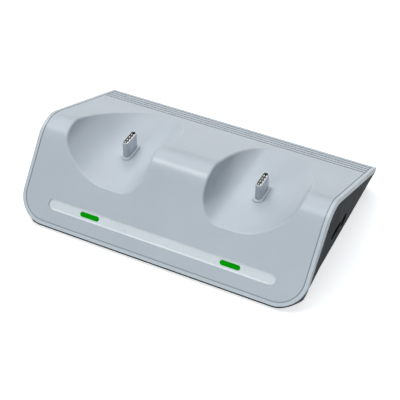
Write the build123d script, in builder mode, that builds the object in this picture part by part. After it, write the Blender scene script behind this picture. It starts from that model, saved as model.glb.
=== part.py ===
from build123d import *
from math import atan2, cos, radians, sin, tan
import os

# Charging dock for two game controllers: a folded cover with two bowls over a low base.
# Millimetres. The dock stands on Z = 0, its front faces -Y and its middle is at X = 0.

# Overall form, heights measured from the base's underside
dock_width = 113.0
dock_depth = 74.0
crest_height = 30.8
rear_height = 9.9
fascia_angle = 50.8
front_lip = 0.6
crest_radius = 10.8
front_corner_radius = 11.0
foot_stand = 1.0

# Walls and fits
skin = 1.8
skirt_taper = 5.0
bowl_wall = 2.0
base_wall = 2.0
base_floor = 1.8
base_tuck = 2.5
base_tuck_front = 1.6
base_setback = 0.1
base_rim_drop = 0.45
base_rim_depth = 0.5
base_rim_end = 0.4
fit_gap = 0.15
screw_gap = 0.05
edge_break = 0.15

# Bowls
ridge_width = 22.8
side_land = 10.5
bowl_floor_height = 16.1
bowl_inner_radius = 8.5
bowl_outer_radius = 9.0
bowl_flat = 5.1
bowl_sweep_angle = 45.0
bowl_rim_round = 0.8

# Fine grooves in the cover
rim_groove_inset = 1.5
groove_width = 0.3
groove_depth = 0.2
rear_groove_inset = 2.5
rear_groove_pitch = 2.55
rear_groove_count = 4
rear_groove_width = 0.8
rear_groove_depth = 0.5

# Light strip, placed up the front slope from the front edge
strip_margin = 11.5
strip_width = 4.1
strip_rise = 8.5
strip_recess = 0.4
strip_lip = 0.45
bar_flange = 1.5
bar_flange_thickness = 1.0
window_inset = 17.1
window_length = 7.7
window_width = 1.8
window_flange = 0.6
window_flange_thickness = 0.5
lamp_length = 3.5
lamp_width = 2.4
lamp_height = 1.0
lamp_gap = 0.2
lamp_board_thickness = 0.8
lamp_board_overhang = 5.0
lamp_board_rise = 16.5
lamp_post_spacing = 36.0
lamp_post_rise = 14.6
ribbon_width = 6.0
ribbon_thickness = 0.3
ribbon_bend = 1.5
ribbon_lap = 4.0

# Charging plugs, one in each bowl
plug_inset = 15.3
plug_setback = 34.6
plug_width = 8.25
plug_thickness = 2.4
plug_wall = 0.3
plug_stand = 7.1
plug_core_drop = 0.35
plug_mouth_width = 6.6
plug_mouth_thickness = 1.2
plug_mouth_depth = 4.6
contact_count = 4
contact_pitch = 1.65
contact_width = 0.75
contact_thickness = 0.3
contact_length = 4.55
collar_length = 10.1
collar_width = 4.1
collar_rise = 0.9
collar_bevel = 0.3
plug_board_width = 14.0
plug_board_length = 22.0
plug_board_thickness = 1.2
plug_screw_spacing = 17.0
plug_boss_radius = 2.4
link_height = 2.5
link_width = 2.5
link_length = 12.7
link_offset = 5.2

# Inlets in the right-hand side
port_setback = 36.7
port_height = 8.2
port_width = 8.94
port_thickness = 3.26
port_wall = 0.3
port_length = 7.5
port_recess = 1.4
tongue_width = 6.7
tongue_thickness = 0.7
tongue_drop = 1.0
jack_spacing = 7.8
jack_height = 7.1
jack_barrel = 4.8
jack_bore = 3.6
jack_pin = 1.2
jack_pin_drop = 1.0
jack_body_width = 6.2
jack_body_length = 8.0
jack_body_height = 5.2
jack_back_wall = 1.0
jack_tab_width = 4.0
jack_tab_length = 1.5
jack_tab_thickness = 0.8

# Main board and what it carries
board_thickness = 1.6
board_front = 26.0
board_depth = 25.0
board_left_margin = 6.85
board_right_margin = 5.0
board_screw_inset = 3.0
board_screw_right = 12.0
link_screw_gap = 4.55
board_post_radius = 2.6
chip_size = 5.0
chip_height = 0.9
chip_spacing = 24.0
chip_setback = 45.0
coil_size = 6.6
coil_height = 3.0
coil_round = 1.2
coil_spacing = 9.0
coil_setback = 44.5
capacitor_diameter = 6.3
capacitor_height = 5.8
capacitor_plinth = 0.8
capacitor_bevel = 0.4
capacitor_spacing = 8.0
capacitor_setback = 35.5

# Fasteners and feet
case_screw_side = 8.0
case_screw_front = 20.0
case_screw_rear = 10.0
case_screw_shank = 2.9
case_screw_head = 5.2
case_screw_head_height = 1.8
case_screw_bite = 5.0
case_post_radius = 4.0
case_boss_radius = 3.25
case_post_height = 5.0
case_head_seat = 2.4
small_screw_shank = 2.0
small_screw_head = 3.6
small_screw_head_height = 1.2
small_screw_bite = 2.4
drive_length = 2.2
drive_width = 0.6
drive_depth = 0.7
foot_diameter = 10.0
foot_pocket = 0.8
foot_bevel = 0.35
foot_side = 20.0
foot_front = 9.5
foot_rear = 8.0
rib_thickness = 1.2
rib_depth = 3.4
rib_gap = 0.8
rib_end_height = 14.0


def pair(x, y):
    """The same place on the left and on the right."""
    return [(-x, y), (x, y)]


# Places worked out from the sizes above
half_width = dock_width / 2
fascia_turn = radians(fascia_angle)
front_y = -dock_depth / 2 - edge_break * cos(fascia_turn)
rear_y = dock_depth / 2
base_z = foot_stand
lip_z = base_z + front_lip
crest_z = base_z + crest_height
rear_z = base_z + rear_height
crest_y = front_y + (crest_z - lip_z) / tan(fascia_turn)
deck_turn = atan2(crest_z - rear_z, rear_y - crest_y)
reach = dock_width + dock_depth
groove_x = half_width - rim_groove_inset
corner_end_y = front_y + front_corner_radius * cos(fascia_turn)
skirt_x = half_width - base_wall / 2

fascia_plane = Plane((0, front_y, lip_z), x_dir=(1, 0, 0), z_dir=(0, -sin(fascia_turn), cos(fascia_turn)))
deck_plane = Plane((0, rear_y, rear_z), x_dir=(1, 0, 0), z_dir=(0, sin(deck_turn), cos(deck_turn)))

bowl_inner_x = ridge_width / 2
bowl_outer_x = half_width - side_land
bowl_floor_z = base_z + bowl_floor_height
sweep_turn = radians(bowl_sweep_angle)
bowl_sweep_run = bowl_outer_x - bowl_inner_x - bowl_inner_radius - bowl_flat - bowl_outer_radius
bowl_sweep_radius = bowl_outer_radius + bowl_sweep_run / sin(sweep_turn)

port_z = base_z + port_height
board_top = port_z - port_thickness / 2
board_bottom = board_top - board_thickness
port_y = front_y + port_setback
board_right_x = half_width - board_right_margin
floor_top = base_z + base_floor
jack_setback = port_setback + jack_spacing
jack_y = front_y + jack_setback
jack_z = base_z + jack_height
jack_shoulder_x = board_right_x + fit_gap
jack_back_x = jack_shoulder_x - jack_body_length
rib_x = half_width - base_wall - rib_gap - rib_thickness / 2
rib_end_z = base_z + rib_end_height

plug_x = bowl_inner_x + plug_inset
plug_y = front_y + plug_setback
plug_top = bowl_floor_z + plug_stand
contact_spread = plug_mouth_thickness - contact_thickness
plug_board_bottom = board_top + link_height
plug_board_top = plug_board_bottom + plug_board_thickness
link_x = plug_x + link_offset
board_left_x = -link_x - link_width / 2 - board_left_margin

strip_length = dock_width - 2 * strip_margin
strip_low = strip_rise - strip_width / 2 + screw_gap
window_x = strip_length / 2 - window_inset
bar_back = -skin - bar_flange_thickness
window_back = bar_back - window_flange_thickness
lamp_top = window_back - lamp_gap
lamp_board_top = lamp_top - lamp_height
lamp_board_bottom = lamp_board_top - lamp_board_thickness
lamp_board_low = strip_rise - lamp_width / 2
lamp_board_length = 2 * (window_x + lamp_board_overhang)

side_signs = {"left": -1, "right": 1}
case_screw_x = half_width - case_screw_side
case_screws_front = pair(case_screw_x, front_y + case_screw_front)
case_screws_rear = pair(case_screw_x, rear_y - case_screw_rear)
case_screw_places = case_screws_front + case_screws_rear
board_front_y = front_y + board_front
board_rear_y = board_front_y + board_depth
board_screw_front_y = board_front_y + board_screw_inset
board_screw_rear_y = board_rear_y - board_screw_inset
board_screw_places = [
    (board_left_x + board_screw_inset, board_screw_front_y),
    (board_left_x + board_screw_inset, board_screw_rear_y),
    (link_x + link_width / 2 + link_screw_gap + small_screw_head / 2, board_screw_front_y),
    (board_right_x - board_screw_right, board_screw_rear_y),
]
plug_places = pair(plug_x, plug_y)
plug_screw_reach = plug_screw_spacing / 2
plug_screw_places = pair(plug_x, plug_y - plug_screw_reach) + pair(plug_x, plug_y + plug_screw_reach)
lamp_screw_places = pair(lamp_post_spacing / 2, lamp_post_rise)
foot_x = half_width - foot_side
foot_rows = {"front": front_y + foot_front, "rear": rear_y - foot_rear}
foot_places = {
    f"{row}_{name}": (side * foot_x, y) for row, y in foot_rows.items() for name, side in side_signs.items()
}
chip_places = pair(chip_spacing / 2, front_y + chip_setback)
coil_places = pair(coil_spacing / 2, front_y + coil_setback)
capacitor_places = pair(capacitor_spacing / 2, front_y + capacitor_setback)
case_post_top = base_z + case_post_height
case_head_z = base_z + case_head_seat
case_screw_tip = case_post_top + case_screw_bite


def slope_points(inset, taper=0.0):
    """Corners of the cover's section, moved inwards, with the front slope tapered in above its corners."""
    foot = (front_y + inset / sin(fascia_turn), lip_z)
    bend = (foot[0] + front_corner_radius * cos(fascia_turn), lip_z + front_corner_radius * sin(fascia_turn))
    rear = (rear_y, rear_z - inset / cos(deck_turn))
    turn = fascia_turn - radians(taper)
    rise = rear[1] + rear_y * tan(deck_turn) - bend[1] + bend[0] * tan(turn)
    crest_place = rise / (tan(turn) + tan(deck_turn))
    crest = (crest_place, bend[1] + (crest_place - bend[0]) * tan(turn))
    return [foot, bend, crest, rear] if taper else [foot, crest, rear]


def slope_line(inset, taper=0.0):
    """Line of the cover's section at an inset, rounded over the crest."""
    return FilletPolyline(*slope_points(inset, taper), radius=crest_radius - inset)


def band_section(outer, inner, taper=0.0, from_y=front_y, from_z=base_z):
    """Face between two insets of the cover's section, kept behind one place and above one height."""
    with BuildSketch(Plane.YZ) as band:
        with BuildLine():
            upper = slope_line(outer)
            lower = slope_line(inner, taper)
            Line(upper @ 0, lower @ 0)
            Line(upper @ 1, lower @ 1)
        make_face()
        with Locations((from_y, from_z)):
            Rectangle(reach, reach, align=(Align.MIN, Align.MIN), mode=Mode.INTERSECT)
    return band.sketch


def wedge_section(inset):
    """Face from the base's underside up to the cover's section line."""
    with BuildSketch(Plane.YZ) as wedge:
        with BuildLine():
            slope = slope_line(inset)
            Polyline(slope @ 1, (rear_y, base_z), ((slope @ 0).X, base_z), slope @ 0)
        make_face()
    return wedge.sketch


def bowl_section(wall):
    """Face of both bowls' cross section, swelled by a wall and open to above the crest."""
    inner_centre = (bowl_inner_x + bowl_inner_radius, bowl_floor_z + bowl_inner_radius)
    sweep_centre = (inner_centre[0] + bowl_flat, bowl_floor_z + bowl_sweep_radius)
    centre_step = bowl_sweep_radius - bowl_outer_radius
    outer_centre = (
        sweep_centre[0] + centre_step * sin(sweep_turn),
        sweep_centre[1] - centre_step * cos(sweep_turn),
    )
    with BuildSketch(Plane.XZ) as bowls:
        with BuildLine():
            inner = CenterArc(inner_centre, bowl_inner_radius + wall, 180, 90)
            sweep = CenterArc(sweep_centre, bowl_sweep_radius + wall, 270, bowl_sweep_angle)
            outer = CenterArc(
                outer_centre, bowl_outer_radius + wall, 270 + bowl_sweep_angle, 90 - bowl_sweep_angle
            )
            Line(inner @ 1, sweep @ 0)
            Polyline(outer @ 1, ((outer @ 1).X, reach), ((inner @ 0).X, reach), inner @ 0)
        make_face()
        mirror(about=Plane.YZ)
    return bowls.sketch


def front_corner_waste(inset, drop=0.0):
    """Face of what lies outside the two rounded front corners, seen square to the front slope."""
    centre_x = half_width - front_corner_radius
    beyond = half_width + front_corner_radius
    with BuildSketch(fascia_plane) as waste:
        with BuildLine():
            centre = (centre_x, front_corner_radius - drop)
            corner = CenterArc(centre, front_corner_radius - inset, -90, 90)
            Polyline(
                corner @ 1,
                (beyond, front_corner_radius - drop),
                (beyond, -front_corner_radius),
                (centre_x, -front_corner_radius),
                corner @ 0,
            )
        make_face()
        mirror(about=Plane.YZ)
    return waste.sketch


def rim_groove_front():
    """Face of the fine groove that follows the front edge and its two corners."""
    centre_x = half_width - front_corner_radius
    radius = front_corner_radius - rim_groove_inset
    with BuildSketch(fascia_plane) as groove:
        with BuildLine():
            left = CenterArc((-centre_x, front_corner_radius), radius, 180, 90)
            right = CenterArc((centre_x, front_corner_radius), radius, 270, 90)
            Line(left @ 1, right @ 0)
            offset(amount=groove_width / 2, side=Side.BOTH)
        make_face()
    return groove.sketch


def base_section():
    """Face of the base's outline from the side, up to the cover's inner face and its side skirts."""
    toe_y = front_y + base_setback
    with BuildSketch(Plane.YZ) as section:
        with BuildLine():
            slope = slope_line(skin, skirt_taper)
            Polyline(slope @ 1, (rear_y, base_z), (toe_y, base_z), (toe_y, lip_z), slope @ 0)
        make_face()
    return section.sketch


def tuck_stations():
    """Where the base's sides are drawn in: place along the dock, top of the slant and inset at its foot."""
    foot, crest, rear = slope_points(skin - fit_gap)
    return [(*foot, base_tuck_front), (*crest, base_tuck), (*rear, base_tuck)]


def side_tuck(wall):
    """Solid of what the base's two slanted sides leave free, moved inwards by a wall."""
    beyond = half_width + base_tuck
    side_x = half_width - wall
    with BuildPart() as tuck:
        for y, top, inset in tuck_stations():
            with BuildSketch(Plane.XZ.offset(-y)):
                with BuildLine():
                    Polyline(
                        (side_x, top), (side_x - inset, base_z), (beyond, base_z), (beyond, top), close=True
                    )
                make_face()
        loft(ruled=True)
        mirror(about=Plane.YZ)
    return tuck.part


def side_face_x(y, z):
    """Place of the base's slanted right side behind the crest."""
    (crest_place, crest_top, inset), (rear_place, rear_top, _) = tuck_stations()[1:]
    top = crest_top + (rear_top - crest_top) * (y - crest_place) / (rear_place - crest_place)
    return half_width - inset * (top - z) / (top - base_z)


def ribbon_points():
    """Middle line of the flat cable, from the lamp board's back down on to the main board."""
    back = lamp_board_bottom - ribbon_thickness / 2
    start = fascia_plane.from_local_coords((0, lamp_board_rise - ribbon_lap, back))
    bend = fascia_plane.from_local_coords((0, lamp_board_rise + ribbon_bend, back))
    landing = board_top + ribbon_thickness / 2
    return [
        (start.Y, start.Z),
        (bend.Y, bend.Z),
        (board_front_y - ribbon_bend, landing),
        (board_front_y + ribbon_lap, landing),
    ]


def screws(seat, places, way, shank, length, head, head_height):
    """Group of screws with heads on a seat plane and shanks along (1) or against (-1) its normal."""
    with BuildPart() as group:
        with BuildSketch(seat):
            with Locations(*places):
                Circle(shank / 2)
        extrude(amount=way * length)
        with BuildSketch(seat):
            with Locations(*places):
                Circle(head / 2)
        extrude(amount=-way * head_height)
        with BuildSketch(seat.offset(-way * head_height)):
            with Locations(*places):
                Rectangle(drive_length, drive_width)
                Rectangle(drive_width, drive_length)
        extrude(amount=way * drive_depth, mode=Mode.SUBTRACT)
    return group


def finish(node, name):
    """Name a finished piece and write it out."""
    node.part.label = name
    export_step(node.part, f"parts/{name}.step")


port_mouth_x = side_face_x(port_y, port_z) - port_recess
port_back_x = port_mouth_x - port_length
jack_mouth_x = side_face_x(jack_y, jack_z) - port_recess

os.makedirs("parts", exist_ok=True)

# What hangs under the cover: bowl walls and screw bosses, kept below the middle of the skin
with BuildPart() as under_forms:
    extrude(bowl_section(bowl_wall), amount=reach, both=True)
    with BuildSketch(Plane.XY.offset(case_post_top)):
        with Locations(*case_screw_places):
            Circle(case_boss_radius)
    extrude(amount=reach)
    with BuildSketch(Plane.XY.offset(plug_board_top)):
        with Locations(*plug_screw_places):
            Circle(plug_boss_radius)
    extrude(amount=bowl_floor_z - bowl_wall / 2 - plug_board_top)
    with BuildSketch(fascia_plane.offset(lamp_board_top)):
        with Locations(*lamp_screw_places):
            Circle(plug_boss_radius)
    extrude(amount=-lamp_board_top)
    extrude(wedge_section(skin / 2), amount=half_width, both=True, mode=Mode.INTERSECT)

# Cover: folded skin, bowls, grooves, light slot and plug openings in one moulding
with BuildPart() as top_cover:
    extrude(wedge_section(0), amount=half_width, both=True)
    split(bisect_by=Plane.XY.offset(lip_z), keep=Keep.TOP)
    extrude(front_corner_waste(0), amount=reach, both=True, mode=Mode.SUBTRACT)
    slopes = top_cover.faces().filter_by(fascia_plane) + top_cover.faces().filter_by(deck_plane)
    crest = top_cover.faces().filter_by(GeomType.CYLINDER).sort_by(Axis.Z)[-1:]
    outer_edges = ShapeList(slopes + crest).edges()
    long_edges = outer_edges.filter_by(Axis.X).sort_by(Axis.Y)
    chamfer(outer_edges.filter_by(Axis.X, reverse=True) + [long_edges[0], long_edges[-1]], edge_break)
    extrude(wedge_section(skin), amount=reach, both=True, mode=Mode.SUBTRACT)
    # skirts that deepen the sides towards the crest, and ribs that drop inside the base's walls
    for side in side_signs.values():
        skirt = Pos(side * skirt_x, 0, 0) * band_section(skin / 2, skin, skirt_taper, corner_end_y)
        extrude(skirt, amount=base_wall / 2, both=True)
        rib = Pos(side * rib_x, 0, 0) * band_section(skin / 2, skin + rib_depth, from_z=rib_end_z)
        extrude(rib, amount=rib_thickness / 2, both=True)
    add(under_forms.part)
    extrude(bowl_section(0), amount=reach, both=True, mode=Mode.SUBTRACT)
    cut_edges = top_cover.edges(Select.LAST).filter_by(Axis.Y, reverse=True)
    floor_rims = cut_edges.filter_by(Axis.X).group_by(Axis.Z)[0]
    fillet(cut_edges.filter_by(Axis.X, reverse=True) + floor_rims, bowl_rim_round)
    # fine groove inside the edge: round the front, then up and over along both sides
    extrude(rim_groove_front(), amount=-groove_depth, mode=Mode.SUBTRACT)
    for side in side_signs.values():
        groove = Pos(side * groove_x, 0, 0) * band_section(0, groove_depth, from_y=corner_end_y)
        extrude(groove, amount=groove_width / 2, both=True, mode=Mode.SUBTRACT)
    # fine grooves across the rear
    with BuildSketch(deck_plane):
        for count in range(rear_groove_count):
            with Locations((0, -rear_groove_inset - count * rear_groove_pitch)):
                Rectangle(2 * groove_x, rear_groove_width)
    extrude(amount=-rear_groove_depth, mode=Mode.SUBTRACT)
    # slot for the light strip
    with BuildSketch(fascia_plane):
        with Locations((0, strip_rise)):
            SlotOverall(strip_length, strip_width)
    extrude(amount=-skin, mode=Mode.SUBTRACT)
    # openings for the plug collars in the bowl floors
    with BuildSketch(Plane.XY.offset(bowl_floor_z - bowl_wall - fit_gap)):
        with Locations(*plug_places):
            SlotOverall(collar_length + 2 * screw_gap, collar_width + 2 * screw_gap, rotation=90)
    extrude(amount=2 * bowl_wall, mode=Mode.SUBTRACT)
    # pilot holes in the bosses
    with BuildSketch(Plane.XY.offset(case_post_top)):
        with Locations(*case_screw_places):
            Circle(case_screw_shank / 2 + screw_gap)
    extrude(amount=case_screw_bite + screw_gap, mode=Mode.SUBTRACT)
    with BuildSketch(Plane.XY.offset(plug_board_top)):
        with Locations(*plug_screw_places):
            Circle(small_screw_shank / 2 + screw_gap)
    extrude(amount=small_screw_bite + screw_gap, mode=Mode.SUBTRACT)
    with BuildSketch(fascia_plane.offset(lamp_board_top)):
        with Locations(*lamp_screw_places):
            Circle(small_screw_shank / 2 + screw_gap)
    extrude(amount=small_screw_bite + screw_gap, mode=Mode.SUBTRACT)
finish(top_cover, "top_cover")

# Room inside the base, up through its open top
with BuildPart() as base_room:
    with BuildSketch(Plane.XY.offset(floor_top)):
        with Locations((0, rear_y - base_wall)):
            Rectangle(dock_width - 2 * base_wall, dock_depth, align=(Align.CENTER, Align.MAX))
    extrude(amount=reach)
    extrude(front_corner_waste(base_wall), amount=reach, both=True, mode=Mode.SUBTRACT)
    add(side_tuck(base_wall), mode=Mode.SUBTRACT)

# Thin rim of the base that shows below the cover's rounded front corners and sinks away towards the sides
with BuildPart() as base_rim:
    with BuildSketch(Plane(fascia_plane.origin, x_dir=(1, 0, 0), z_dir=fascia_plane.y_dir)):
        with BuildLine():
            Polyline(
                (half_width - front_corner_radius, base_rim_depth),
                (half_width, skin),
                (half_width, skin + fit_gap),
                (half_width - front_corner_radius, skin + fit_gap),
                close=True,
            )
        make_face()
        mirror(about=Plane.YZ)
    extrude(amount=front_corner_radius, both=True)
    extrude(front_corner_waste(0), amount=reach, both=True, mode=Mode.INTERSECT)
    with BuildSketch(Plane.XY.offset(base_z)):
        with Locations((0, front_y + base_setback)):
            Rectangle(dock_width - 2 * base_rim_end, dock_depth / 2, align=(Align.CENTER, Align.MIN))
    extrude(amount=crest_height, mode=Mode.INTERSECT)

# Base: open tub with tucked-in sides, screw posts, foot pockets and the two inlets
with BuildPart() as base_shell:
    extrude(base_section(), amount=half_width, both=True)
    add(base_rim.part)
    extrude(front_corner_waste(0, base_rim_drop), amount=reach, both=True, mode=Mode.SUBTRACT)
    add(side_tuck(0), mode=Mode.SUBTRACT)
    add(base_room.part, mode=Mode.SUBTRACT)
    with BuildSketch(Plane.XY.offset(base_z)):
        with Locations(*case_screw_places):
            Circle(case_post_radius)
    extrude(amount=case_post_height)
    with BuildSketch(Plane.XY.offset(base_z)):
        with Locations(*board_screw_places):
            Circle(board_post_radius)
    extrude(amount=board_bottom - base_z)
    with BuildSketch(Plane.XY.offset(base_z)):
        with Locations(*case_screw_places):
            Circle(case_screw_head / 2 + fit_gap)
    extrude(amount=case_head_seat, mode=Mode.SUBTRACT)
    with BuildSketch(Plane.XY.offset(base_z)):
        with Locations(*case_screw_places):
            Circle(case_screw_shank / 2 + fit_gap)
    extrude(amount=case_post_height, mode=Mode.SUBTRACT)
    with BuildSketch(Plane.XY.offset(board_bottom)):
        with Locations(*board_screw_places):
            Circle(small_screw_shank / 2 + screw_gap)
    extrude(amount=-small_screw_bite - screw_gap, mode=Mode.SUBTRACT)
    with BuildSketch(Plane.XY.offset(base_z)):
        with Locations(*foot_places.values()):
            Circle(foot_diameter / 2 + fit_gap)
    extrude(amount=foot_pocket, mode=Mode.SUBTRACT)
    with BuildSketch(Plane.YZ.offset(board_right_x)):
        with Locations((port_y, port_z)):
            SlotOverall(port_width + 2 * fit_gap, port_thickness + 2 * fit_gap)
        with Locations((jack_y, jack_z)):
            Circle(jack_barrel / 2 + fit_gap)
    extrude(amount=reach, mode=Mode.SUBTRACT)
finish(base_shell, "base_shell")

# Light strip: a bar that fills the slot from behind, with a flange on the skin's back
with BuildPart() as light_bar:
    with BuildSketch(fascia_plane.offset(bar_back)):
        with Locations((0, strip_rise)):
            SlotOverall(strip_length + 2 * bar_flange, strip_width + 2 * bar_flange)
    extrude(amount=bar_flange_thickness)
    with BuildSketch(fascia_plane.offset(-skin)):
        with Locations((0, strip_rise)):
            SlotOverall(strip_length - 2 * screw_gap, strip_width - 2 * screw_gap)
    extrude(amount=skin - strip_recess)
    # lip that slants from the sunk face up to the slot's lower edge
    with BuildSketch(Plane(fascia_plane.origin, x_dir=fascia_plane.y_dir, z_dir=(1, 0, 0))):
        with BuildLine():
            Polyline(
                (strip_low, -strip_recess),
                (strip_low + strip_lip, -strip_recess),
                (strip_low, 0),
                close=True,
            )
        make_face()
    extrude(amount=(strip_length - strip_width) / 2, both=True)
    with BuildSketch(fascia_plane.offset(bar_back)):
        with Locations(*pair(window_x, strip_rise)):
            SlotOverall(window_length + 2 * screw_gap, window_width + 2 * screw_gap)
    extrude(amount=skin + bar_flange_thickness, mode=Mode.SUBTRACT)
finish(light_bar, "light_bar")

# Lamp board behind the strip
with BuildPart() as led_board:
    with BuildSketch(fascia_plane.offset(lamp_board_bottom)):
        with Locations((0, lamp_board_low)):
            Rectangle(lamp_board_length, lamp_board_rise - lamp_board_low, align=(Align.CENTER, Align.MIN))
        with Locations(*lamp_screw_places):
            Circle(small_screw_shank / 2 + fit_gap, mode=Mode.SUBTRACT)
    extrude(amount=lamp_board_thickness)
finish(led_board, "led_board")

# Flat cable from the lamp board's back to the main board
with BuildPart() as led_ribbon:
    with BuildSketch(Plane.YZ):
        with BuildLine():
            FilletPolyline(*ribbon_points(), radius=ribbon_bend)
            offset(amount=ribbon_thickness / 2, side=Side.BOTH)
        make_face()
    extrude(amount=ribbon_width / 2, both=True)
finish(led_ribbon, "led_ribbon")

# Main board
with BuildPart() as main_board:
    with BuildSketch(Plane.XY.offset(board_bottom)):
        with Locations((board_left_x, board_front_y)):
            Rectangle(board_right_x - board_left_x, board_depth, align=(Align.MIN, Align.MIN))
        with Locations(*board_screw_places):
            Circle(small_screw_shank / 2 + fit_gap, mode=Mode.SUBTRACT)
        # notch in the right-hand edge that the round socket sits in
        with Locations((board_right_x, jack_y)):
            Rectangle(
                jack_body_length,
                jack_body_width + 2 * fit_gap,
                align=(Align.MAX, Align.CENTER),
                mode=Mode.SUBTRACT,
            )
    extrude(amount=board_thickness)
finish(main_board, "main_board")

# Input socket: a drawn shell with a closed back, and the tongue inside it
with BuildPart() as input_port_shell:
    with BuildSketch(Plane.YZ.offset(port_back_x)):
        with Locations((port_y, port_z)):
            SlotOverall(port_width, port_thickness)
    extrude(amount=port_length)
    with BuildSketch(Plane.YZ.offset(port_back_x + port_wall)):
        with Locations((port_y, port_z)):
            SlotOverall(port_width - 2 * port_wall, port_thickness - 2 * port_wall)
    extrude(amount=port_length, mode=Mode.SUBTRACT)
finish(input_port_shell, "input_port_shell")

with BuildPart() as input_port_tongue:
    with BuildSketch(Plane.YZ.offset(port_back_x + port_wall)):
        with Locations((port_y, port_z)):
            Rectangle(tongue_width, tongue_thickness)
    extrude(amount=port_length - port_wall - tongue_drop)
finish(input_port_tongue, "input_port_tongue")

# Round power socket: body sunk in the board's notch, tab on the board, barrel through the wall, and its pin
with BuildPart() as power_jack:
    with BuildSketch(Plane.YZ.offset(jack_back_x)):
        with Locations((jack_y, jack_z)):
            Rectangle(jack_body_width, jack_body_height)
    extrude(amount=jack_body_length)
    with BuildSketch(Plane.XY.offset(board_top)):
        with Locations((jack_back_x, jack_y)):
            Rectangle(jack_tab_length, jack_tab_width, align=(Align.MAX, Align.CENTER))
    extrude(amount=jack_tab_thickness)
    with BuildSketch(Plane.YZ.offset(jack_shoulder_x)):
        with Locations((jack_y, jack_z)):
            Circle(jack_barrel / 2)
    extrude(amount=jack_mouth_x - jack_shoulder_x)
    with BuildSketch(Plane.YZ.offset(jack_back_x + jack_back_wall)):
        with Locations((jack_y, jack_z)):
            Circle(jack_bore / 2)
    extrude(amount=reach, mode=Mode.SUBTRACT)
finish(power_jack, "power_jack")

with BuildPart() as power_jack_pin:
    with BuildSketch(Plane.YZ.offset(jack_back_x + jack_back_wall)):
        with Locations((jack_y, jack_z)):
            Circle(jack_pin / 2)
    extrude(amount=jack_mouth_x - jack_back_x - jack_back_wall - jack_pin_drop)
    chamfer(power_jack_pin.edges().group_by(Axis.X)[-1], jack_pin / 4)
finish(power_jack_pin, "power_jack_pin")

# Parts on the main board
with BuildPart() as charge_chips:
    with BuildSketch(Plane.XY.offset(board_top)):
        with Locations(*chip_places):
            Rectangle(chip_size, chip_size)
    extrude(amount=chip_height)
finish(charge_chips, "charge_chips")

with BuildPart() as inductors:
    with BuildSketch(Plane.XY.offset(board_top)):
        with Locations(*coil_places):
            RectangleRounded(coil_size, coil_size, coil_round)
    extrude(amount=coil_height)
finish(inductors, "inductors")

with BuildPart() as capacitors:
    with BuildSketch(Plane.XY.offset(board_top)):
        with Locations(*capacitor_places):
            Rectangle(capacitor_diameter, capacitor_diameter)
    extrude(amount=capacitor_plinth)
    with BuildSketch(Plane.XY.offset(board_top + capacitor_plinth)):
        with Locations(*capacitor_places):
            Circle(capacitor_diameter / 2)
    extrude(amount=capacitor_height - capacitor_plinth)
    chamfer(capacitors.edges().group_by(Axis.Z)[-1], capacitor_bevel)
finish(capacitors, "capacitors")

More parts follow.
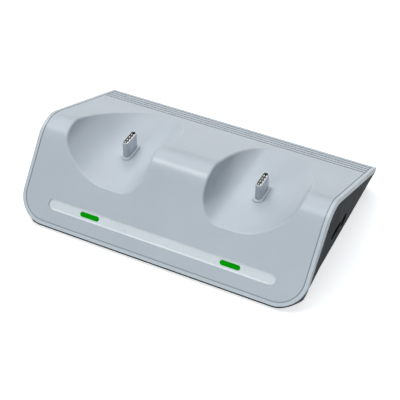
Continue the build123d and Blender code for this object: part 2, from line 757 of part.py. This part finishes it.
# Pieces that come in a left and a right one
for name, side in side_signs.items():
    with BuildPart() as led_window:
        with BuildSketch(fascia_plane.offset(window_back)):
            with Locations((side * window_x, strip_rise)):
                SlotOverall(window_length + 2 * window_flange, window_width + 2 * window_flange)
        extrude(amount=window_flange_thickness)
        with BuildSketch(fascia_plane.offset(bar_back)):
            with Locations((side * window_x, strip_rise)):
                SlotOverall(window_length, window_width)
        extrude(amount=-bar_back - strip_recess)
    finish(led_window, f"led_window_{name}")

    with BuildPart() as led:
        with BuildSketch(fascia_plane.offset(lamp_board_top)):
            with Locations((side * window_x, strip_rise)):
                Rectangle(lamp_length, lamp_width)
        extrude(amount=lamp_height)
    finish(led, f"led_{name}")

    plug_place = (side * plug_x, plug_y)
    with BuildPart() as plug_collar:
        with BuildSketch(Plane.XY.offset(plug_board_top)):
            with Locations(plug_place):
                SlotOverall(collar_length, collar_width, rotation=90)
        extrude(amount=bowl_floor_z + collar_rise - plug_board_top)
        chamfer(plug_collar.edges().group_by(Axis.Z)[-1], collar_bevel)
        with BuildSketch(Plane.XY.offset(plug_board_top)):
            with Locations(plug_place):
                SlotOverall(plug_width + 2 * screw_gap, plug_thickness + 2 * screw_gap, rotation=90)
        extrude(amount=reach, mode=Mode.SUBTRACT)
    finish(plug_collar, f"plug_collar_{name}")

    with BuildPart() as plug_shell:
        with BuildSketch(Plane.XY.offset(plug_board_top)):
            with Locations(plug_place):
                SlotOverall(plug_width, plug_thickness, rotation=90)
        extrude(amount=plug_top - plug_board_top)
        chamfer(plug_shell.edges().group_by(Axis.Z)[-1], plug_wall / 2)
        with BuildSketch(Plane.XY.offset(plug_board_top)):
            with Locations(plug_place):
                SlotOverall(plug_width - 2 * plug_wall, plug_thickness - 2 * plug_wall, rotation=90)
        extrude(amount=reach, mode=Mode.SUBTRACT)
    finish(plug_shell, f"plug_shell_{name}")

    core_gap = plug_wall + screw_gap
    core_top = plug_top - plug_core_drop
    with BuildPart() as plug_core:
        with BuildSketch(Plane.XY.offset(plug_board_top)):
            with Locations(plug_place):
                SlotOverall(plug_width - 2 * core_gap, plug_thickness - 2 * core_gap, rotation=90)
        extrude(amount=core_top - plug_board_top)
        with BuildSketch(Plane.XY.offset(core_top)):
            with Locations(plug_place):
                Rectangle(plug_mouth_thickness, plug_mouth_width)
        extrude(amount=-plug_mouth_depth, mode=Mode.SUBTRACT)
    finish(plug_core, f"plug_core_{name}")

    with BuildPart() as plug_contacts:
        with BuildSketch(Plane.XY.offset(core_top - plug_mouth_depth)):
            with Locations(plug_place):
                with GridLocations(contact_spread, contact_pitch, 2, contact_count):
                    Rectangle(contact_thickness, contact_width)
        extrude(amount=contact_length)
    finish(plug_contacts, f"plug_contacts_{name}")

    with BuildPart() as plug_board:
        with BuildSketch(Plane.XY.offset(plug_board_bottom)):
            with Locations(plug_place):
                Rectangle(plug_board_width, plug_board_length)
            with Locations(*plug_screw_places):
                Circle(small_screw_shank / 2 + fit_gap, mode=Mode.SUBTRACT)
        extrude(amount=plug_board_thickness)
    finish(plug_board, f"plug_board_{name}")

    with BuildPart() as board_link:
        with BuildSketch(Plane.XY.offset(board_top)):
            with Locations((side * link_x, plug_y)):
                Rectangle(link_width, link_length)
        extrude(amount=link_height)
    finish(board_link, f"board_link_{name}")

# Rubber feet, let into the base's underside
for name, place in foot_places.items():
    with BuildPart() as foot:
        with BuildSketch(Plane.XY):
            with Locations(place):
                Circle(foot_diameter / 2)
        extrude(amount=foot_stand + foot_pocket)
        chamfer(foot.edges().group_by(Axis.Z)[0], foot_bevel)
    finish(foot, f"foot_{name}")

# Screws, each kind a group
small_head = (small_screw_head, small_screw_head_height)
case_screws = screws(
    Plane.XY.offset(case_head_z),
    case_screw_places,
    1,
    case_screw_shank,
    case_screw_tip - case_head_z,
    case_screw_head,
    case_screw_head_height,
)
finish(case_screws, "case_screws")

main_board_screws = screws(
    Plane.XY.offset(board_top),
    board_screw_places,
    -1,
    small_screw_shank,
    board_thickness + small_screw_bite,
    *small_head,
)
finish(main_board_screws, "main_board_screws")

plug_board_screws = screws(
    Plane.XY.offset(plug_board_bottom),
    plug_screw_places,
    1,
    small_screw_shank,
    plug_board_thickness + small_screw_bite,
    *small_head,
)
finish(plug_board_screws, "plug_board_screws")

led_board_screws = screws(
    fascia_plane.offset(lamp_board_bottom),
    lamp_screw_places,
    1,
    small_screw_shank,
    lamp_board_thickness + small_screw_bite,
    *small_head,
)
finish(led_board_screws, "led_board_screws")
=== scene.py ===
from math import cos, radians, sin

import bmesh
import bpy
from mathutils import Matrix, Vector


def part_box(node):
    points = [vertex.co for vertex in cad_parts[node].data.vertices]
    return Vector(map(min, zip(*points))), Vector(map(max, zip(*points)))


# Looks of a charging dock for two game controllers. Metres, in the dock's own frame:
# it stands on Z = 0, its front faces -Y and its middle is at X = 0.

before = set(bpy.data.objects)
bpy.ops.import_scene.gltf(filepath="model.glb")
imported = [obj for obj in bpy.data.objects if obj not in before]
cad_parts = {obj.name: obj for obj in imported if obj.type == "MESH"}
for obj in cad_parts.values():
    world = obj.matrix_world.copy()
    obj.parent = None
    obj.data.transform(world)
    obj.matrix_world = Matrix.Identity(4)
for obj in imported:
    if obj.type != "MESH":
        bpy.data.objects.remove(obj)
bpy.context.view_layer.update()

MM = 0.001

# Part of a noise pattern's range that its two tones or gloss values lie at
noise_low, noise_high = 0.3, 0.7

# The cover's slopes and its rim, a paler band between the outer edge and the fine groove inside it
fascia_angle = radians(50.8)
deck_angle = radians(22.9)
corner_radius = 11.0 * MM
rim_groove = 1.5 * MM
rim_groove_width = 0.36 * MM
rim_edge = 0.2 * MM
rear_band = 11.5 * MM
rear_groove_start = 0.06 * MM
rear_top = 10.9 * MM

# Camera, as fitted to the photograph's straight edges and to both plugs
camera_aim = Vector((7.57, -13.35, 15.5)) * MM
camera_azimuth = radians(26.209)
camera_elevation = radians(41.601)
camera_distance = 387.48 * MM
camera_lens = 97.855
camera_sensor = 36.0
camera_near = 0.01

# Studio
floor_reach = 3.0
ambient_colour = "CDF3FF"
ambient_strength = 0.05
floor_colour = "D9DDE0"
floor_lift = 0.66
lamp_distance = 2.5
# each lamp's name, the way to it from the dock, its size, its power in watts, its colour and
# whether shiny surfaces mirror it
lamps = [
    ("overhead_softbox", (-0.2, 0.3, 0.93), 2.9, 47.0, "FDFFFF", True),
    ("front_fill", (0.0, -0.85, 0.5), 1.5, 21.5, "FBFFFF", False),
    ("crest_lamp", (-0.33, -0.12, 0.93), 0.3, 9.0, "FFFFFF", True),
]


def linear(colour):
    """An sRGB hex colour as linear red, green, blue and alpha."""
    parts = [int(colour[start:start + 2], 16) / 255 for start in (0, 2, 4)]
    return [p / 12.92 if p <= 0.04045 else ((p + 0.055) / 1.055) ** 2.4 for p in parts] + [1.0]


def add_node(tree, kind, inputs=None, **settings):
    """One node: settings are its own options, and each input is a value or another node's output."""
    made = tree.nodes.new(kind)
    for option, value in settings.items():
        setattr(made, option, value)
    for socket, value in (inputs or {}).items():
        if isinstance(value, bpy.types.NodeSocket):
            tree.links.new(value, made.inputs[socket])
        else:
            made.inputs[socket].default_value = value
    return made


def start_material(name):
    """A new empty material: itself, its tree and the surface's own coordinates."""
    material = bpy.data.materials.new(name)
    material.use_nodes = True
    tree = material.node_tree
    tree.nodes.clear()
    place = add_node(tree, "ShaderNodeTexCoord").outputs["Object"]
    return material, tree, place


def put_surface(tree, inputs):
    """Close a material with one Principled shader."""
    shader = add_node(tree, "ShaderNodeBsdfPrincipled", inputs)
    add_node(tree, "ShaderNodeOutputMaterial", {"Surface": shader.outputs["BSDF"]})


def per_metre(size_mm):
    """Texture scale that repeats a pattern about once in a size given in millimetres."""
    return 1 / (size_mm * MM)


def noise(tree, place, size_mm, detail):
    """Soft random spots of a size in millimetres."""
    spots = {"Vector": place, "Scale": per_metre(size_mm), "Detail": detail}
    return add_node(tree, "ShaderNodeTexNoise", spots).outputs["Fac"]


def mottle(tree, place, size_mm, dark, light):
    """Colour that drifts softly between two close tones."""
    tones = add_node(tree, "ShaderNodeValToRGB", {"Fac": noise(tree, place, size_mm, 3.0)})
    low, high = tones.color_ramp.elements
    low.position, low.color = noise_low, linear(dark)
    high.position, high.color = noise_high, linear(light)
    return tones.outputs["Color"]


def uneven(tree, place, size_mm, smooth, rough):
    """Roughness that drifts between two values, as a moulded or worn surface does."""
    spread = {"Value": noise(tree, place, size_mm, 2.0), "From Min": noise_low, "From Max": noise_high}
    spread.update({"To Min": smooth, "To Max": rough})
    return add_node(tree, "ShaderNodeMapRange", spread).outputs["Result"]


def grain(tree, place, size_mm, depth_mm, strength):
    """Fine raised grain over the whole surface."""
    raised = {"Height": noise(tree, place, size_mm, 4.0), "Strength": strength, "Distance": depth_mm * MM}
    return add_node(tree, "ShaderNodeBump", raised).outputs["Normal"]


def math(tree, operation, *values):
    """One sum on values or other nodes' outputs."""
    return add_node(tree, "ShaderNodeMath", dict(enumerate(values)), operation=operation).outputs[0]


def along(tree, place, way):
    """How far a place lies along a direction."""
    dot = add_node(tree, "ShaderNodeVectorMath", {0: place, 1: way}, operation="DOT_PRODUCT")
    return dot.outputs["Value"]


def rim_reach(tree, place):
    """Distance out from the middle line of the cover's rounded edge: the corner radius at the edge."""
    low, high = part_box("top_cover")
    up_slope = Vector((0.0, cos(fascia_angle), sin(fascia_angle)))
    foot = up_slope.dot(Vector((0.0, low[1], low[2])))
    sideways = math(tree, "ABSOLUTE", along(tree, place, (1.0, 0.0, 0.0)))
    past_side = math(tree, "SUBTRACT", sideways, high[0] - corner_radius)
    below_front = math(tree, "SUBTRACT", foot + corner_radius, along(tree, place, up_slope))
    outward = {"X": math(tree, "MAXIMUM", past_side, 0.0), "Y": math(tree, "MAXIMUM", below_front, 0.0)}
    corner = add_node(tree, "ShaderNodeCombineXYZ", outward).outputs["Vector"]
    return add_node(tree, "ShaderNodeVectorMath", {0: corner}, operation="LENGTH").outputs["Value"]


def rear_groove_shade_mask(tree, place):
    """Where painted shade goes: one inside the grooves across the cover's rear, else nought."""
    low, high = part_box("top_cover")
    square_to_deck = Vector((0.0, sin(deck_angle), cos(deck_angle)))
    deck_level = rear_top * cos(deck_angle) + high[1] * sin(deck_angle)
    sunk = math(tree, "LESS_THAN", along(tree, place, square_to_deck), deck_level - rear_groove_start)
    at_rear = math(tree, "GREATER_THAN", along(tree, place, (0.0, 1.0, 0.0)), high[1] - rear_band)
    return math(tree, "MULTIPLY", sunk, at_rear)


def tinted(tree, mask, colour, tone):
    """A colour with another laid over it where a mask is one."""
    mixed = {"Fac": mask, "Color1": colour, "Color2": tone}
    return add_node(tree, "ShaderNodeMixRGB", mixed).outputs["Color"]


def satin_abs(tree, place, colour):
    """Surface of ABS moulded in a finely spark-eroded tool: satin, with soft even highlights."""
    put_surface(tree, {
        "Base Color": colour,
        "Roughness": uneven(tree, place, 9.0, 0.3, 0.36),
        # the real grain is about 0.1 mm, drawn three times as coarse so that it shows up close
        "Normal": grain(tree, place, 0.3, 0.01, 0.12),
        "IOR": 1.53,
    })


def cover_abs():
    """Pale grey ABS of the cover: its rim a little paler, and painted shade darkening its fine grooves."""
    material, tree, place = start_material("pale_grey_moulded_abs")
    colour = mottle(tree, place, 22.0, "C1C9D2", "C6CED7")
    reach = rim_reach(tree, place)
    rim_half = (rim_groove - rim_edge) / 2
    rim = math(tree, "COMPARE", reach, corner_radius - rim_edge - rim_half, rim_half)
    # painted shade: the rim's fine groove gets a darker tone, standing in for the shade inside it
    rim_groove_shade = math(tree, "COMPARE", reach, corner_radius - rim_groove, rim_groove_width / 2)
    colour = tinted(tree, rim, colour, linear("CFD7DF"))
    colour = tinted(tree, rim_groove_shade, colour, linear("9AA2AB"))
    # painted shade: the rear grooves get a darker tone, standing in for the shade inside them
    colour = tinted(tree, rear_groove_shade_mask(tree, place), colour, linear("9DA5AE"))
    satin_abs(tree, place, colour)
    return material


def collar_abs():
    """Pale grey ABS of the plug collars, a little lighter than the cover."""
    material, tree, place = start_material("pale_grey_collar_abs")
    satin_abs(tree, place, mottle(tree, place, 22.0, "C4CBD2", "CBD1D8"))
    return material


def black_abs():
    """Black ABS with a coarser spark-eroded grain: dull, with hardly any shine."""
    material, tree, place = start_material("black_moulded_abs")
    put_surface(tree, {
        "Base Color": mottle(tree, place, 15.0, "212528", "262A2D"),
        "Roughness": uneven(tree, place, 6.0, 0.6, 0.7),
        "Normal": grain(tree, place, 0.45, 0.03, 0.25),
        "IOR": 1.53,
        "Specular IOR Level": 0.06,
    })
    return material


def strip_polycarbonate():
    """Milky polycarbonate light strip, lightly etched: paler and smoother than the cover."""
    material, tree, place = start_material("etched_milky_polycarbonate")
    put_surface(tree, {
        "Base Color": mottle(tree, place, 10.0, "E5EBF0", "E8EEF3"),
        "Roughness": uneven(tree, place, 4.0, 0.26, 0.32),
        "Normal": grain(tree, place, 0.25, 0.006, 0.1),
        "IOR": 1.58,
    })
    return material


def lit_green_acrylic():
    """Green tinted acrylic lens with a lamp behind: an even green glow under a satin face."""
    material, tree, place = start_material("lit_green_acrylic")
    put_surface(tree, {
        "Base Color": linear("005000"),
        "Roughness": 0.4,
        "IOR": 1.49,
        "Specular IOR Level": 0.04,
        "Emission Color": mottle(tree, place, 3.0, "008A00", "009600"),
        "Emission Strength": 0.8,
    })
    return material


def drawn_steel(name, tones, smooth, rough, stretch=(1.0, 1.0, 0.06)):
    """Nickel plated steel with fine draw marks along one way: bright, with streaky reflections."""
    material, tree, place = start_material(name)
    drawn = add_node(tree, "ShaderNodeMapping", {"Vector": place, "Scale": stretch}).outputs["Vector"]
    put_surface(tree, {
        "Base Color": mottle(tree, place, 4.0, *tones),
        "Roughness": uneven(tree, drawn, 0.35, smooth, rough),
        "Normal": grain(tree, drawn, 0.2, 0.004, 0.15),
        "Metallic": 1.0,
    })
    return material


def dull_plating():
    """Spring contacts plated with dull tin: pale silvery metal with a soft, milky sheen."""
    material, tree, place = start_material("tin_plated_bronze")
    put_surface(tree, {
        "Base Color": mottle(tree, place, 1.0, "E6E6E2", "F0F0EC"),
        "Roughness": uneven(tree, place, 0.5, 0.45, 0.6),
        "Metallic": 0.4,
    })
    return material


def plain_resin(name, tones, size_mm, smooth, rough, grain_mm):
    """A moulded or coated part inside the case: two close tones, uneven gloss and a fine grain."""
    material, tree, place = start_material(name)
    put_surface(tree, {
        "Base Color": mottle(tree, place, size_mm, *tones),
        "Roughness": uneven(tree, place, size_mm / 2, smooth, rough),
        "Normal": grain(tree, place, grain_mm, grain_mm / 20, 0.2),
    })
    return material


def foot_rubber():
    """Black moulded rubber: soft, dusty grey sheen and no sharp highlight."""
    material, tree, place = start_material("black_moulded_rubber")
    put_surface(tree, {
        "Base Color": mottle(tree, place, 5.0, "1C1D1E", "26282A"),
        "Roughness": uneven(tree, place, 3.0, 0.7, 0.85),
        "Normal": grain(tree, place, 0.5, 0.03, 0.3),
        "IOR": 1.52,
        "Sheen Weight": 0.15,
        "Sheen Roughness": 0.5,
    })
    return material


def dress(nodes):
    """Give every piece of the dock the finish of its material slot."""
    finishes = {
        "cover_abs": cover_abs(),
        "collar_abs": collar_abs(),
        "base_abs": black_abs(),
        "strip_pc": strip_polycarbonate(),
        "lens_green": lit_green_acrylic(),
        "plug_steel": drawn_steel("nickel_plated_drawn_steel", ("B0B5BA", "C2C7CC"), 0.36, 0.48),
        "contact_plating": dull_plating(),
        "connector_nylon": plain_resin("black_glass_filled_nylon", ("151617", "1D1E20"), 2.0, 0.45, 0.6, 0.2),
        "board_epoxy": plain_resin("green_masked_epoxy_board", ("14502E", "1A5C36"), 6.0, 0.3, 0.4, 0.4),
        "chip_resin": plain_resin("black_chip_resin", ("1E1F20", "2A2B2C"), 2.0, 0.5, 0.65, 0.15),
        "coil_ferrite": plain_resin("grey_pressed_ferrite", ("4A4B4D", "585A5C"), 2.0, 0.6, 0.75, 0.2),
        "capacitor_can": drawn_steel("brushed_aluminium_can", ("C4C6C8", "D2D4D6"), 0.3, 0.42),
        "lamp_resin": plain_resin("pale_lamp_resin", ("E4E6D8", "EEF0E4"), 1.5, 0.25, 0.35, 0.3),
        "ribbon_film": plain_resin("amber_polyimide_film", ("A8662A", "B87432"), 3.0, 0.3, 0.4, 0.3),
        "screw_steel": drawn_steel(
            "zinc_plated_screw_steel", ("8E9296", "A4A8AC"), 0.3, 0.45, (1.0, 1.0, 1.0)
        ),
        "foot_rubber": foot_rubber(),
    }
    for piece in nodes.values():
        for holder in piece.material_slots:
            holder.material = finishes[holder.material.name.split(".")[0]]


def in_sight(tree):
    """One for rays that show the background itself, to the camera or in a reflection, else nought."""
    path = add_node(tree, "ShaderNodeLightPath").outputs
    mirrored = math(tree, "MAXIMUM", path["Is Glossy Ray"], path["Is Transmission Ray"])
    return math(tree, "MAXIMUM", path["Is Camera Ray"], mirrored)


def stage_floor():
    """Pale paper that keeps a soft shadow, lifted to white where the camera or a reflection sees it."""
    material = bpy.data.materials.new("pale_studio_paper")
    material.use_nodes = True
    tree = material.node_tree
    tree.nodes.clear()
    lift = math(tree, "MULTIPLY", in_sight(tree), floor_lift)
    paper = add_node(tree, "ShaderNodeBsdfDiffuse", {"Color": linear(floor_colour)})
    glow = add_node(tree, "ShaderNodeEmission", {"Strength": lift})
    both = add_node(tree, "ShaderNodeAddShader", {0: paper.outputs[0], 1: glow.outputs[0]})
    add_node(tree, "ShaderNodeOutputMaterial", {"Surface": both.outputs[0]})

    sheet = bmesh.new()
    bmesh.ops.create_grid(sheet, x_segments=1, y_segments=1, size=floor_reach)
    mesh = bpy.data.meshes.new("studio_floor")
    sheet.to_mesh(mesh)
    sheet.free()
    mesh.materials.append(material)
    floor = bpy.data.objects.new("studio_floor", mesh)
    bpy.context.scene.collection.objects.link(floor)


def stage_world():
    """Weak cool daylight all round, and plain white where the camera or a reflection sees past the floor."""
    world = bpy.data.worlds.new("studio_daylight")
    bpy.context.scene.world = world
    world.use_nodes = True
    tree = world.node_tree
    tree.nodes.clear()
    around = add_node(
        tree, "ShaderNodeBackground", {"Color": linear(ambient_colour), "Strength": ambient_strength}
    )
    white = add_node(tree, "ShaderNodeBackground", {"Color": linear("FFFFFF"), "Strength": 1.0})
    either = {0: in_sight(tree), 1: around.outputs[0], 2: white.outputs[0]}
    mixed = add_node(tree, "ShaderNodeMixShader", either)
    add_node(tree, "ShaderNodeOutputWorld", {"Surface": mixed.outputs[0]})


def stage_lamps():
    """A large soft lamp overhead, a weaker one in front and a small one for the crest's highlight."""
    for name, way, size, power, colour, mirrored in lamps:
        lamp = bpy.data.lights.new(name, "AREA")
        lamp.shape = "SQUARE"
        lamp.size = size
        lamp.energy = power
        lamp.color = linear(colour)[:3]
        holder = bpy.data.objects.new(name, lamp)
        outward = Vector(way).normalized()
        holder.location = outward * lamp_distance
        holder.rotation_euler = (-outward).to_track_quat("-Z", "Y").to_euler()
        holder.visible_glossy = mirrored
        bpy.context.scene.collection.objects.link(holder)


def stage_camera():
    """Camera at the photograph's angle and distance."""
    lens = bpy.data.cameras.new("photo_camera")
    lens.lens = camera_lens
    lens.sensor_width = camera_sensor
    lens.clip_start = camera_near
    back = Vector((
        sin(camera_azimuth) * cos(camera_elevation),
        -cos(camera_azimuth) * cos(camera_elevation),
        sin(camera_elevation),
    ))
    camera = bpy.data.objects.new("photo_camera", lens)
    camera.location = camera_aim + back * camera_distance
    camera.rotation_euler = (-back).to_track_quat("-Z", "Y").to_euler()
    bpy.context.scene.collection.objects.link(camera)
    bpy.context.scene.camera = camera


dress(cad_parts)
stage_floor()
stage_world()
stage_lamps()
stage_camera()
bpy.context.scene.view_settings.view_transform = "Standard"
